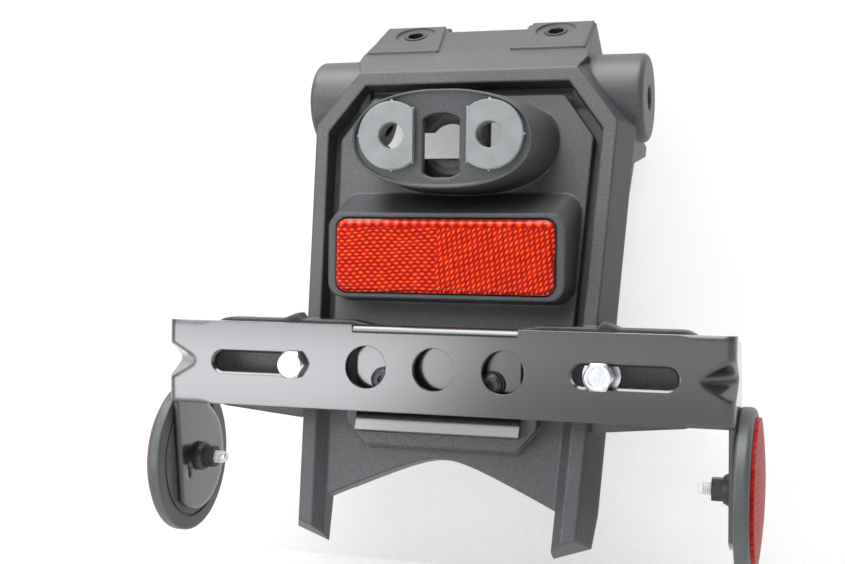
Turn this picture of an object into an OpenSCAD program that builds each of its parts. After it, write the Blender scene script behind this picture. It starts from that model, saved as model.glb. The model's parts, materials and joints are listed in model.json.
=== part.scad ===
// Motorbike tail tidy: moulded number-plate carrier, steel plate bracket, lamp grommets and reflectors.
// Z is up, -Y faces the rear of the bike, X runs across it. The origin is the centre of the bracket's
// middle hole, on the bracket's front face.

/* [Body shell] */
// Lean of the body away from the plate, in degrees
lean = 12; // [4:1:18]
// Depth of the ring's front face behind the bracket's front face, level with the middle hole
ring_y = 14.5; // [13:0.5:20]
// Half width of the ring at its knees
knee_x = 61.2; // [58:0.2:64]
// Height of the knees along the ring
knee_h = 96; // [92:1:100]
// Half width of the ring's top edge
top_x = 44.5; // [40:0.5:48]
// Height of the ring's top edge along the ring
top_h = 118; // [115:1:121]
// Half width of the ring at the ends of the legs
foot_x = 53.8; // [52:0.2:56]
// Distance of the leg ends below the middle hole, along the ring
foot_h = 61; // [56:1:66]
// Width of the ring's front face
ring_w = 5.4; // [4.4:0.2:6.4]
// Width of the groove inside the ring
groove_w = 4.2; // [3:0.2:5]
// Depth of the groove's floor behind the ring's face
groove_d = 9; // [7:0.5:9.5]
// Depth of the centre panel behind the ring's face
panel_d = 3.8; // [2:0.2:5]
// Wall thickness of the moulding
wall = 2.5; // [2:0.1:3]
// Depth of the open back behind the ring's face
tray_d = 12.5; // [12.5:0.5:15]
// How far the flanks flare out from the ring to the open back
flare = 5; // [3:0.5:7]
// Depth of the upper housing behind the ring's face
housing_d = 42.5; // [42:0.5:46]
// Height where the upper housing starts, along the ring
housing_h = 66; // [60:1:70]
// Height where the housing's underside reaches its full depth, along the ring
housing_low = 94; // [90:1:98]
// Height of the housing's rear top edge, along the ring
housing_top = 138; // [134:1:140]
// Rise of the housing's underside over its first steep part
housing_rise = 18.5; // [16:0.5:20]

/* [Arch and legs] */
// Height of the arch's peak below the middle hole, along the ring
arch_peak = 34.5; // [33:0.5:37]
// Height of the arch's ends below the middle hole, along the ring
arch_end = 51; // [47:1:54]
// Roundness of the arch's peak
arch_r = 12; // [6:1:18]
// Height below the middle hole where the groove gives way to the legs' slanted inner sides
leg_top = 8; // [4:1:10]

/* [Roof and ears] */
// Depth of the crease between the top band and the roof
crease_d = 8.8; // [7:0.2:10]
// Height of that crease along the ring
crease_h = 128.6; // [127:0.2:130]
// Steepness of the roof, in degrees from the ring's face
roof_turn = 48.4; // [44:0.2:52]
// Length of the roof between the ears, along its slope
roof_run = 23.7; // [22:0.1:25]
// Length of the ears along the slope
ear_run = 28; // [27:0.5:30]
// Height of the ears above the roof
ear_rise = 1; // [0.8:0.1:2]
// Distance between the ear holes
ear_span = 60; // [58:0.5:62]
// Distance of the ear holes up the slope
ear_v = 19.2; // [18:0.1:19.4]
// Diameter of the shallow seat around each ear hole
seat_dia = 16.5; // [14:0.5:17]
// Depth of that seat
seat_d = 0.8; // [0.4:0.1:0.9]
// Half width of the ears at their outer edge
ear_out = 44.7; // [44:0.1:45]
// Half width of the shoulders above the ring's top corners
shoulder_x = 47.5; // [46:0.1:49]
// Height of the shoulders along the ring
shoulder_h = 124; // [122:0.5:126]
// Half width of the gap between the ears
ear_in = 19; // [17:0.5:20]
// Outer diameter of the ear bushes
bush_dia = 9; // [8:0.5:10]
// Bore of the ear bushes
bush_bore = 6.4; // [5.2:0.1:6.8]
// Length of the ear bushes
bush_len = 11; // [9:0.5:12]

/* [Indicator cylinders] */
// Diameter of the indicator cylinders
cyl_dia = 35.2; // [31:0.2:36]
// Distance between the cylinders' end faces
cyl_span = 138; // [134:1:144]
// Depth of the cylinders' axis behind the ring's face
cyl_d = 24.2; // [22:0.2:24.6]
// Height of the cylinders' axis along the ring
cyl_h = 112.8; // [110:0.2:114]
// Rounding of the cylinders' end edges
cyl_round = 2.5; // [1:0.5:3]
// Bore in each end face for the indicator's thread
indicator_bore = 10.4; // [8.4:0.2:12.4]

/* [Lamp boss] */
// Depth of the boss's rim behind the bracket's front face
boss_y = 5.5; // [4:0.5:8]
// Height of the boss's centre above the middle hole
boss_z = 85.8; // [84:0.2:87]
// Width of the boss at its face
boss_w = 69.6; // [66:0.4:72]
// Height of the boss at its face
boss_t = 36.9; // [35:0.1:38]
// Draft of the boss's side, as growth per millimetre of depth
boss_draft = 0.0034; // [0.002:0.0002:0.005]
// Width of the boss's thin rim
rim_w = 1.1; // [0.9:0.1:2]
// Depth of the boss's face inside its rim
face_d = 1; // [0.6:0.1:1.4]
// Thickness of the boss's face
face_t = 3; // [2.6:0.1:3.4]
// Width of the middle opening
port_w = 14.4; // [12:0.2:15]
// Height of the middle opening
port_t = 24.4; // [22:0.2:25]
// Height of the middle opening's centre above the middle hole of the bracket
port_z = 83.2; // [82.6:0.1:84]

/* [Lamp grommets] */
// Distance between the grommet bores
grommet_span = 38; // [37.6:0.2:40]
// Height of the grommet bores above the middle hole of the bracket
grommet_z = 87.1; // [86.4:0.1:87.6]
// Diameter of the grommets' front flange
flange_dia = 25.8; // [24:0.2:25.8]
// Distance of the flange's flat side from the bore's axis
flange_flat = 8.6; // [8:0.1:9.2]
// Thickness of each flange
flange_t = 2.5; // [2:0.1:3]
// Diameter of the grommets' neck
neck_dia = 15.6; // [14.6:0.1:16]
// Diameter of the grommets' rear flange
tail_dia = 22; // [20:0.5:22.6]
// Bore of the grommets
grommet_bore = 9.8; // [8.8:0.1:10.6]

/* [Cable plate] */
// Depth of the cable plate behind the bracket's front face
cable_y = 19; // [17:0.5:21]
// Thickness of the cable plate
cable_t = 2; // [1.6:0.1:2.4]
// Width of the cable plate
cable_w = 31; // [30:0.5:32]
// Height of the cable plate
cable_l = 27; // [25:0.5:28]
// Diameter of the cable plate's round hole
key_dia = 16.6; // [14:0.2:17]
// Reach of the keyhole's side slot from the middle
key_reach = 11; // [9.5:0.1:12]
// Height of the keyhole's side slot
key_t = 10; // [8:0.5:11]

/* [Reflector pad] */
// Depth of the pad's rim behind the bracket's front face
pad_y = 11.5; // [10:0.5:13]
// Width of the pad at its rim
pad_w = 93; // [91:0.5:95]
// Height of the pad at its rim
pad_t = 32.4; // [31:0.2:34]
// Height of the pad's centre above the middle hole
pad_z = 42; // [41:0.2:43]
// Width of the rectangular reflector
reflector_w = 86; // [83:0.5:88]
// Height of the rectangular reflector
reflector_t = 28.4; // [26:0.2:29]
// Corner radius of the rectangular reflector
reflector_r = 4; // [3:0.5:5]
// Depth of the recess in the pad
recess_d = 6; // [5:0.5:7]
// Thickness of the reflector's black tray
tray_t = 5; // [4:0.2:5.6]
// Thickness of the tray's floor
tray_floor = 1.8; // [1.4:0.1:2.4]
// How far the red lens stands out of the pad
lens_proud = 2; // [1:0.2:3]
// Clearance around the reflector in the pad
fit_gap = 0.3; // [0.2:0.1:0.5]

/* [Plate bracket] */
// Overall width of the bracket
bracket_w = 219; // [210:1:226]
// Height of the bracket's bar
bar_t = 32.4; // [31:0.2:34]
// Height of the bar's top edge above the middle hole
bar_top = 15.8; // [15.6:0.1:16.4]
// Thickness of the steel sheet
sheet = 2.5; // [2:0.1:2.8]
// Outer radius of the bends
bend_r = 4; // [3.5:0.1:5]
// Diameter of the round holes
hole_dia = 16; // [14:0.5:17]
// Distance between neighbouring round holes
hole_pitch = 26.5; // [25:0.5:28]
// Distance of the slots' inner ends from the middle
slot_in = 52; // [50:0.5:53]
// Distance of the slots' outer ends from the middle
slot_out = 89.5; // [86:0.5:91]
// Height of the slots' openings
slot_t = 7.6; // [7:0.1:8]
// How far the slots' pressed rims stand out behind the bar
slot_rim = 1.5; // [1:0.1:2]
// Reach of the gusset dimples from each bend's outer corner
gusset = 12; // [10:0.5:13]
// Depth of the end flanges behind the bar's face, level with the bar
end_flange = 20; // [18:0.5:26]
// Width of the tongue behind the bar
tongue_w = 64; // [60:0.5:66]
// Depth of the tongue's face behind the bar's front face
tongue_y = 6; // [5.8:0.1:6.6]
// Height of the tongue's flat end below the middle hole
tongue_end = 17.5; // [16:0.5:18]
// Length of the tongue's bent lip
lip = 8; // [6:0.5:9]
// Forward bend of that lip, in degrees
lip_turn = 22; // [10:1:30]

/* [Side reflectors] */
// Height of the side reflectors' centres below the middle hole
side_z = 41.3; // [38:0.1:43]
// Depth of the side reflectors' centres behind the bar's face
side_y = 23.5; // [22:0.5:25]
// Diameter of the side reflectors' bases
side_dia = 60.6; // [59:0.5:66]
// Thickness of the side reflectors' bases
side_t = 5.6; // [5:0.2:7]
// Diameter of the round lenses
disc_dia = 53.4; // [50:0.2:55]
// Height of the round lenses' edges above their bases
disc_edge = 1.4; // [1:0.1:2]
// Rise of the round lenses' domes
dome = 1.8; // [1:0.2:3]
// Length of the studs inside the bracket's flanges
stud_out = 12.4; // [11:0.2:14]
// Diameter of the M5 studs
m5 = 5; // [4.8:0.1:5.2]
// Radius of the round tabs that carry the side reflectors
tab_r = 21.5; // [19:0.5:24]
// Distance of the tabs' front lower corner below the middle hole
tab_end = 56.5; // [53:0.5:58]

/* [Fasteners] */
// Diameter of the plate bolts' shanks
m6 = 6; // [5.6:0.1:6.2]
// Width across flats of the plate bolts' heads
bolt_flats = 10; // [9:0.5:11]
// Height of the plate bolts' heads
bolt_head = 4; // [3:0.2:5]
// Position of the left plate bolt along its slot, from the middle
bolt_left = 56; // [56:0.5:78]
// Position of the right plate bolt along its slot, from the middle
bolt_right = 62; // [56:0.5:78]
// Distance between the bracket screws
screw_span = 42; // [40:0.5:44]
// Height of the bracket screws below the middle hole
screw_drop = 5; // [4:0.5:7]
// Diameter of the brass inserts
insert_dia = 7; // [6.6:0.1:7.6]

/* [Rear cover] */
// Height of the cover's lower edge above the arch
cover_lift = 0.6; // [0.4:0.1:1.2]
// Thickness of the rear cover
cover_t = 2.2; // [1.8:0.1:2.8]
// Height of the rear cover's top edge, along the ring
cover_top = 65.5; // [60:0.5:65.5]
// Gap between the rear cover and the flanks
cover_gap = 1.2; // [0.8:0.1:2]

/* [Hidden] */
$fn = 48;

tiny = 0.01;
reach = 200;
slide_fit = 0.05;
plastic = "#3b3c3e";
steel = "#17181a";
zinc = "#c9ccd0";
brass = "#b08d4a";
grey_rubber = "#77797b";
red = "#c81e10";

// The flanks narrow from the knees to the feet, and every line beside them keeps that taper.
side_slope = (knee_x - foot_x) / (knee_h + foot_h);
housing_knee = tray_d + 5.5;
foot_rake = 0.36;
foot_bevel = 3;
leg_in = ring_w + groove_w - 0.4;
roof_cos = cos(roof_turn);
roof_sin = sin(roof_turn);
ear_tip = [crease_d + ear_run * roof_sin, crease_h + ear_run * roof_cos];
bar_low = bar_top - bar_t;
bracket_x = bracket_w / 2;
tab_in = bracket_x - sheet;
screw_x = screw_span / 2;
cover_screws = [for (row = [[43, 56], [45, 14], [39, -36]]) for (s = [-1, 1]) [s * row[0], row[1]]];
cover_hole = 3.3;
bush_top = -ear_rise + seat_d - 0.3;
cable_screw_x = 11.8;
cable_screw_z = boss_z - 13;
port_floor = boss_y + face_d;
face_back = port_floor + face_t;
recess_floor = pad_y + recess_d;
nut_seat = sheet + slot_rim;
pad_round = 6;
wing_in = 27;
wing_top = bar_top + 0.8;
wing_y = 14;
wing_t = 7;
wing_tip = 97;
tongue_back = tongue_y + sheet;
fold_r = sheet + 0.4;
insert_len = 9;
tray_rim = 1.2;
stud_head = 1.2;
washer_t = 1;
side_washer_t = 1.5;
side_round = 2.2;
disc_seat = 2.4;
flange_nut = [11.8, 1.6, 8, 4.2];

function both(half) = concat(half, [for (i = [len(half) - 1:-1:0]) [-half[i][0], half[i][1]]]);
function side_at(h) = knee_x - side_slope * (knee_h - h);
function arch_at(x) = -arch_peak - (arch_end - arch_peak) * (sqrt(x * x + arch_r * arch_r) - arch_r)
    / (sqrt(pow(arch_x, 2) + arch_r * arch_r) - arch_r);
arch_x = side_at(-arch_end) - leg_in;

// Places children in the body's leaning frame: Y is depth behind the ring's face, Z runs up along it.
module leaned() {
    translate([0, ring_y, 0]) rotate([-lean, 0, 0]) children();
}

// Places children on the roof: Z runs up its slope, and -Y stands out of it.
module on_roof() {
    leaned() translate([0, crease_d, crease_h]) rotate([-roof_turn, 0, 0]) children();
}

// Gives an outline drawn in X and Z a depth from y0 to y1.
module slab(y0, y1) {
    translate([0, y1, 0]) rotate([90, 0, 0]) linear_extrude(y1 - y0) children();
}

// Gives a profile drawn in Y and Z a width from x0 to x1.
module wide(x0, x1) {
    translate([x0, 0, 0]) rotate([90, 0, 90]) linear_extrude(x1 - x0) children();
}

module both_sides() {
    children();
    mirror([1, 0, 0]) children();
}

module left_side() {
    mirror([1, 0, 0]) children();
}

// A round bar along Y from y0 to y1.
module post(x, z, dia, y0, y1) {
    translate([x, y1, z]) rotate([90, 0, 0]) cylinder(d = dia, h = y1 - y0);
}

// A hexagonal bar along Y from y0 to y1.
module hex_post(x, z, flats, y0, y1) {
    translate([x, y1, z]) rotate([90, 0, 0]) cylinder(d = flats / cos(30), h = y1 - y0, $fn = 6);
}

module round_rect(w, t, r) {
    hull_x = w / 2 - r;
    hull_z = t / 2 - r;
    square([w, t - 2 * r], center = true);
    square([w - 2 * r, t], center = true);
    for (sx = [-1, 1]) for (sz = [-1, 1]) translate([sx * hull_x, sz * hull_z]) circle(r);
}

// The boss's outline: an oval with a flatter top and bottom than an ellipse.
module oval(w, t) {
    power = 2 / 2.3;
    polygon([for (i = [0:71]) let (c = cos(i * 5), s = sin(i * 5))
        [sign(c) * pow(abs(c), power) * w / 2, sign(s) * pow(abs(s), power) * t / 2]]);
}

// Outline of the ring: at its front face, or grown by e where it meets the open back.
module ring_outline(e) {
    foot = side_at(-foot_h) + e;
    low = foot_h + e * foot_bevel / flare;
    polygon(both([
        [0, -low - foot * foot_rake],
        [foot, -low],
        [knee_x + e, knee_h + e * 0.4],
        [top_x + e * (shoulder_x - top_x) / flare, top_h + e * (shoulder_h - top_h) / flare]]));
}

// Outline inside the ring, set in by e from the ring's outer edge.
module inner_outline(e) {
    polygon(both([
        [side_at(-90) - e, -90],
        [knee_x - e, knee_h - e * 0.5],
        [top_x - e * 0.55, top_h - e]]));
}

// Side view of the whole body: the front face, the top band, the roof, the housing and the open back.
module side_profile() {
    polygon([[0, -90], [0, top_h], [crease_d, crease_h], ear_tip, [ear_tip[0] + 2, ear_tip[1]],
        [housing_d, housing_top], [housing_d, housing_low], [housing_knee, housing_h + housing_rise],
        [tray_d, housing_h],
        [tray_d, -arch_end], [6, -90]]);
}

module side_cavity() {
    polygon([[tray_d, housing_h + 2 * wall], [housing_knee, housing_h + housing_rise + wall],
        [reach, housing_low + wall], [reach, housing_top - wall], [housing_d - 2, housing_top - wall],
        [ear_tip[0], ear_tip[1] - 2 * wall], [crease_d + 2, crease_h - wall], [tray_d, top_h]]);
}

module outer_form() {
    intersection() {
        union() {
            hull() {
                slab(0, tiny) ring_outline(0);
                slab(tray_d - tiny, tray_d) ring_outline(flare);
            }
            slab(0, housing_d) polygon(both([[top_x - 1, knee_h], [top_x - 0.1, top_h], [shoulder_x, shoulder_h],
                [ear_out, crease_h + 20], [ear_out, 170]]));
            slab(tray_d - 0.5, housing_d) ring_outline(flare * 0.95);
        }
        wide(-reach, reach) side_profile();
    }
}

module housing_cavity() {
    intersection() {
        slab(tray_d - tiny, reach) polygon(both([[knee_x + flare - 1 - wall, housing_h - 20],
            [knee_x + flare - 0.5 - wall, knee_h + 1], [shoulder_x - 0.5 - wall, shoulder_h - 1],
            [ear_out - wall, 170]]));
        wide(-reach, reach) side_cavity();
    }
}

module legs_gap() {
    slab(-5, 40) polygon(concat([for (i = [-12:12]) [i * arch_x / 12, arch_at(i * arch_x / 12)]],
        [[side_at(-100) - leg_in, -100], [-side_at(-100) + leg_in, -100]]));
}

// The front recess: straight inside the ring, slanted between the legs.
module front_recess() {
    intersection() {
        slab(-1, panel_d) inner_outline(ring_w);
        slab(-1, panel_d) translate([-reach / 2, -leg_top]) square([reach, reach]);
    }
    hull() for (step = [[-tiny, ring_w], [panel_d - tiny, ring_w + groove_w]])
        slab(step[0], step[0] + tiny) polygon(both([[side_at(-90) - step[1], -90],
            [side_at(-leg_top) - step[1], -leg_top]]));
}

module groove() {
    slab(panel_d - 1, groove_d) intersection() {
        difference() {
            inner_outline(ring_w);
            inner_outline(ring_w + groove_w);
        }
        translate([-reach / 2, -leg_top]) square([reach, reach]);
    }
}

module shell_cavities() {
    slab(panel_d + wall, tray_d + 1) intersection() {
        inner_outline(ring_w + groove_w + wall);
        translate([-reach / 2, -arch_peak - 12]) square([reach, reach]);
        translate([0, wall]) polygon(concat([for (i = [-12:12]) [i * arch_x / 12, arch_at(i * arch_x / 12)]],
            [[arch_x, reach], [-arch_x, reach]]));
    }
    slab(5, tray_d + 1) intersection() {
        difference() {
            inner_outline(-1.4);
            inner_outline(ring_w - 2);
        }
        translate([-reach / 2, -leg_top]) square([reach, reach]);
    }
    housing_cavity();
}

module boss_form(w, t, y0, y1) {
    translate([0, y0, boss_z]) rotate([-90, 0, 0])
        linear_extrude(y1 - y0, scale = 1 + boss_draft * (y1 - y0)) oval(w, t);
}

module boss_outside() {
    intersection() {
        boss_form(boss_w, boss_t, boss_y, 50);
        leaned() translate([-reach / 2, -reach + panel_d + wall, -reach / 2]) cube(reach);
    }
}

module boss_inside() {
    boss_form(boss_w - 2 * rim_w, boss_t - 2 * rim_w, boss_y - 1, port_floor);
    difference() {
        intersection() {
            boss_form(boss_w - 2 * wall, boss_t - 2 * wall, face_back, 60);
            leaned() translate([-reach / 2, -reach + panel_d + wall + 1, -reach / 2]) cube(reach);
        }
        for (s = [-1, 1]) post(s * cable_screw_x, cable_screw_z, 5.4, face_back - 1, cable_y);
    }
    translate([0, 0, port_z]) slab(boss_y - 1, face_back + 1) intersection() {
        round_rect(port_w, port_t, 1.5);
        circle(d = port_t + 0.4);
    }
    for (s = [-1, 1]) {
        post(s * grommet_span / 2, grommet_z, neck_dia + 2 * slide_fit, boss_y - 1, face_back + 1);
        post(s * cable_screw_x, cable_screw_z, 2.5, cable_y - 7, cable_y + 1);
    }
}

module pad_outside() {
    intersection() {
        hull() {
            translate([0, 0, pad_z]) slab(pad_y, pad_y + 2) round_rect(pad_w, pad_t, pad_round);
            translate([0, 0, pad_z + 3.3]) slab(38, 38 + tiny) round_rect(pad_w + 6, pad_t + 14, pad_round + 2);
        }
        leaned() translate([-reach / 2, -reach + panel_d + wall, -reach / 2]) cube(reach);
    }
}

module pad_inside() {
    translate([0, 0, pad_z]) slab(pad_y - 1, recess_floor)
        round_rect(reflector_w + 2 * fit_gap, reflector_t + 2 * fit_gap, reflector_r + fit_gap);
    translate([0, 0, pad_z + 1]) slab(recess_floor + wall, 48) round_rect(pad_w - 6, pad_t - 4, pad_round - 2);
    post(0, pad_z, m5 + 0.4, pad_y, 60);
}

module tongue_pad() {
    low = tongue_end + lip + 4.6;
    intersection() {
        difference() {
            slab(tongue_back, 30) polygon(both([[tongue_w / 2 - 2, -low], [tongue_w / 2 + 5.4, -low + 9],
                [tongue_w / 2 + 5.4, 12]]));
            slab(tongue_back + wall, 40) polygon(both([[tongue_w / 2 - 3, -low + wall],
                [tongue_w / 2 + 5.4 - wall, -low + 10], [tongue_w / 2 + 5.4 - wall, 12 - wall]]));
        }
        leaned() translate([-reach / 2, -reach + panel_d + wall, -reach / 2]) cube(reach);
    }
    for (s = [-1, 1]) post(s * screw_x, -screw_drop, insert_dia + 5, tongue_back, tongue_back + insert_len + 2);
}

// One side pad behind the bracket, with its gusset to the flank.
module side_pad() {
    tip_r = 8;
    difference() {
        slab(wing_y, wing_y + wing_t) {
            polygon([[wing_in, wing_top - 2], [wing_in, -4], [58, -22], [wing_tip - tip_r, -19],
                [wing_tip, -19 + tip_r], [wing_tip, wing_top - tip_r], [wing_tip - tip_r, wing_top],
                [wing_in + 10, wing_top]]);
            polygon([[58, wing_top - wall], [side_at(bar_top) + 9, wing_top],
                [side_at(bar_top) + 3, wing_top + 2.4], [58, wing_top]]);
            for (z = [-19 + tip_r, wing_top - tip_r]) translate([wing_tip - tip_r, z]) circle(tip_r);
        }
        slab(wing_y + wall, wing_y + wing_t + 1)
            polygon([[66, wing_top - wall], [66, -22 + 2 * wall], [wing_tip - tip_r, -19 + wall],
                [wing_tip - wall, -19 + tip_r], [wing_tip - wall, wing_top - tip_r],
                [wing_tip - tip_r, wing_top - wall]]);
    }
}

module cylinder_form(dia, x1, r) {
    rotate([0, 90, 0]) rotate_extrude() {
        square([dia / 2 - r, x1]);
        square([dia / 2, x1 - r]);
        translate([dia / 2 - r, x1 - r]) circle(r);
    }
}

module indicator_cylinder() {
    leaned() difference() {
        translate([0, cyl_d, cyl_h]) cylinder_form(cyl_dia, cyl_span / 2, cyl_round);
        slab(-reach / 2, reach) polygon([[-1, 0], [ear_out - 3, 0], [ear_out - 3, 170], [-1, 170]]);
    }
}

module cylinder_bores() {
    leaned() translate([0, cyl_d, cyl_h]) rotate([0, 90, 0]) {
        difference() {
            cylinder(d = cyl_dia - 3 * wall, h = cyl_span - 6, center = true);
            cylinder(d = cyl_dia, h = 2 * ear_out - 8, center = true);
        }
        cylinder(d = indicator_bore, h = cyl_span + 10, center = true);
    }
}

module ears() {
    on_roof() intersection() {
        both_sides() slab(-ear_rise, 1)
            polygon([[ear_in - 4, 0.5], [ear_out + 0.6, 0.5], [ear_out - 0.4, ear_run], [ear_in, ear_run]]);
        translate([-reach / 2, -reach / 2, 0]) cube([reach, reach, ear_run]);
    }
    on_roof() both_sides() post(ear_span / 2, ear_v, bush_dia + 5, 0, bush_top + bush_len);
}

module ear_cuts() {
    on_roof() {
        both_sides() {
            post(ear_span / 2, ear_v, seat_dia, -ear_rise - 5, -ear_rise + seat_d);
            post(ear_span / 2, ear_v, bush_dia + 2 * slide_fit, -10, reach / 4);
        }
        translate([-ear_in + 2, -10, roof_run]) cube([2 * ear_in - 4, 16, 40]);
    }
}

module shell() {
    leaned() difference() {
        outer_form();
        legs_gap();
        front_recess();
        groove();
        shell_cavities();
    }
}

module shell_and_cylinders() difference() {
    union() {
        shell();
        both_sides() indicator_cylinder();
    }
    cylinder_bores();
}

module shell_and_boss() difference() {
    union() {
        shell_and_cylinders();
        boss_outside();
    }
    boss_inside();
}

module shell_and_pad() difference() {
    union() {
        shell_and_boss();
        pad_outside();
    }
    pad_inside();
    tongue_room();
}

module body() color(plastic) difference() {
    union() {
        shell_and_pad();
        both_sides() side_pad();
        tongue_pad();
        ears();
        leaned() for (p = cover_screws) post(p[0], p[1], 8, panel_d + 1, tray_d);
    }
    ear_cuts();
    for (s = [-1, 1])
        post(s * screw_x, -screw_drop, insert_dia + 2 * slide_fit, tongue_y, tongue_back + insert_len + 0.5);
    leaned() for (p = cover_screws) post(p[0], p[1], cover_hole, panel_d + wall + 0.8, reach / 4);
}

// Room behind the tongue pad's hollow, cut through the panel.
module tongue_room() {
    slab(tongue_back + wall, 40) polygon(both([[tongue_w / 2 - 6, -tongue_end - lip + 2],
        [tongue_w / 2, -tongue_end], [tongue_w / 2, 8]]));
}

module rear_cover() color(plastic) leaned() difference() {
    union() {
        slab(tray_d, tray_d + cover_t) cover_outline(0);
        slab(tray_d, tray_d + cover_t + 2) difference() {
            cover_outline(0);
            cover_outline(2);
        }
        for (x = [-22, 0, 22]) translate([x - 1, tray_d + cover_t - tiny, -24]) cube([2, 2, 74]);
    }
    for (p = cover_screws) post(p[0], p[1], 4.3, tray_d - 1, tray_d + 10);
}

module cover_outline(e) {
    side = flare + cover_gap + e;
    low = [for (i = [0:5]) [i * arch_x / 6, arch_at(i * arch_x / 6) + cover_lift + e]];
    polygon(both(concat(low, [[side_at(-arch_end) - side, -arch_end + 4 + e],
        [side_at(cover_top) - side + 2, cover_top - e]])));
}

// A pan-head screw along Y: its head stands towards +Y from the seat at y0.
module pan_screw(head_dia, head_t, dia, len) {
    rotate([90, 0, 0]) {
        cylinder(d = dia, h = len);
        translate([0, 0, -head_t]) difference() {
            union() {
                translate([0, 0, head_t * 0.35]) cylinder(d = head_dia, h = head_t * 0.65);
                translate([0, 0, 0]) cylinder(d1 = head_dia * 0.72, d2 = head_dia, h = head_t * 0.35);
            }
            translate([0, 0, -1]) cylinder(d = head_dia * 0.42, h = head_t * 0.5 + 1, $fn = 6);
        }
    }
}

module cover_screw(i) color(steel) leaned()
    translate([cover_screws[i][0], tray_d + cover_t, cover_screws[i][1]]) pan_screw(7.6, 2.6, 3.2, 7);

module cable_plate() color(plastic) difference() {
    translate([0, 0, boss_z]) slab(cable_y, cable_y + cable_t) round_rect(cable_w, cable_l, 3);
    post(0, port_z + 1, key_dia, cable_y - 1, cable_y + cable_t + 1);
    for (step = [[2, 1.2], [4, 0.6]]) post(0, port_z + 1, key_dia + step[0], cable_y - 1, cable_y + step[1]);
    translate([-key_reach, cable_y - 1, port_z + 1 - key_t / 2]) cube([key_reach, cable_t + 2, key_t]);
    for (s = [-1, 1]) post(s * cable_screw_x, cable_screw_z, 3.2, cable_y - 1, cable_y + cable_t + 1);
}

module cable_plate_screw() color(steel)
    translate([cable_screw_x, cable_y + cable_t, cable_screw_z]) pan_screw(5, 2, 2.4, 7.5);

module lamp_grommet() color(grey_rubber) translate([grommet_span / 2, 0, grommet_z]) {
    difference() {
        union() {
            difference() {
                post(0, 0, flange_dia, port_floor - flange_t, port_floor);
                translate([-reach - flange_flat, -reach / 2, -reach / 2]) cube(reach);
            }
            post(0, 0, neck_dia, port_floor, face_back);
            difference() {
                post(0, 0, tail_dia, face_back, face_back + flange_t);
                translate([-reach - flange_flat, -reach / 2, -reach / 2]) cube(reach);
            }
        }
        post(0, 0, grommet_bore, -reach / 2, reach / 2);
    }
}

module reflector_back() color(steel) translate([0, 0, pad_z]) difference() {
    slab(recess_floor - tray_t, recess_floor) round_rect(reflector_w, reflector_t, reflector_r);
    slab(recess_floor - tray_t - 1, recess_floor - tray_floor)
        round_rect(reflector_w - 2 * tray_rim, reflector_t - 2 * tray_rim, reflector_r - tray_rim);
    post(0, 0, m5 + 2 * slide_fit, recess_floor - tray_floor - 1, recess_floor + 1);
}

module reflector_lens() color(red) translate([0, 0, pad_z]) {
    edge = pad_y - lens_proud;
    lip_t = recess_floor - tray_t - edge;
    inset = tray_rim + slide_fit;
    slab(edge, edge + lip_t) round_rect(reflector_w - 0.6, reflector_t - 0.6, reflector_r - 0.3);
    slab(edge + lip_t - tiny, recess_floor - tray_floor - stud_head - slide_fit)
        round_rect(reflector_w - 2 * inset, reflector_t - 2 * inset, reflector_r - inset);
}

module reflector_stud() color(zinc) {
    post(0, pad_z, 9, recess_floor - tray_floor - stud_head, recess_floor - tray_floor);
    post(0, pad_z, m5, recess_floor - tray_floor, recess_floor + wall + 9);
}

module reflector_washer() color(zinc) difference() {
    post(0, pad_z, 12, recess_floor + wall, recess_floor + wall + washer_t);
    post(0, pad_z, m5 + 0.4, 0, 60);
}

module reflector_nut() color(zinc) difference() {
    hex_post(0, pad_z, 8, recess_floor + wall + washer_t, recess_floor + wall + washer_t + 4);
    post(0, pad_z, m5 + 2 * slide_fit, 0, 60);
}

// Side view of the end flange and its tab, drawn in Y and Z.
module flange_profile() {
    corner = [9.5, -tab_end];
    difference() {
        union() {
            polygon([[bend_r, bar_top], [end_flange, bar_top - 4], [side_y + 10, 16 - side_z], [side_y, -side_z],
                corner, [bend_r, bar_low]]);
            intersection() {
                translate([side_y, -side_z]) circle(tab_r);
                polygon([[bend_r, bar_low], corner, [corner[0] + 2, -reach], [reach, -reach], [reach, bar_low]]);
            }
        }
        translate([side_y, -side_z]) circle(d = m5 + 0.4);
        translate([side_y - 9, -side_z - 5]) {
            translate([0, 1.4]) circle(1.3);
            translate([0, -1.4]) circle(1.3);
            square([2.6, 2.8], center = true);
        }
    }
}

module bend_section(x, y) {
    translate([x, y]) intersection() {
        difference() {
            circle(bend_r);
            circle(bend_r - sheet);
        }
        translate([0, -bend_r]) square(bend_r);
    }
}

// Outline of the V-shaped gusset, looking along its ridge, grown by e.
module gusset_outline(e) {
    tip_r = 2.2;
    half = 40;
    run = 20;
    hull_pts = [for (s = [1, -1]) [s * (tip_r + e) * cos(half), -(tip_r + e) * sin(half)]];
    translate([0, 0]) circle(tip_r + e);
    polygon([hull_pts[0], [hull_pts[0][0] + run * sin(half), hull_pts[0][1] + run * cos(half)],
        [hull_pts[1][0] - run * sin(half), hull_pts[1][1] + run * cos(half)], hull_pts[1]]);
}

// The gusset's solid, lying along the ridge from the bar's face to the flange's outer face.
module gusset_form(e) {
    ridge = gusset / sqrt(2);
    translate([bracket_x, 0, 0]) rotate([0, 0, 45]) translate([0, ridge - 2.2, 0])
        rotate([0, 0, 180]) rotate([0, 90, 0])
            linear_extrude(60, center = true) gusset_outline(e);
}

module slot_outline(e) {
    mid = (slot_in + slot_out) / 2;
    translate([mid, 0]) {
        square([slot_out - slot_in - slot_t, slot_t + 2 * e], center = true);
        for (s = [-1, 1]) translate([s * (slot_out - slot_in - slot_t) / 2, 0]) circle(slot_t / 2 + e);
    }
}

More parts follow.
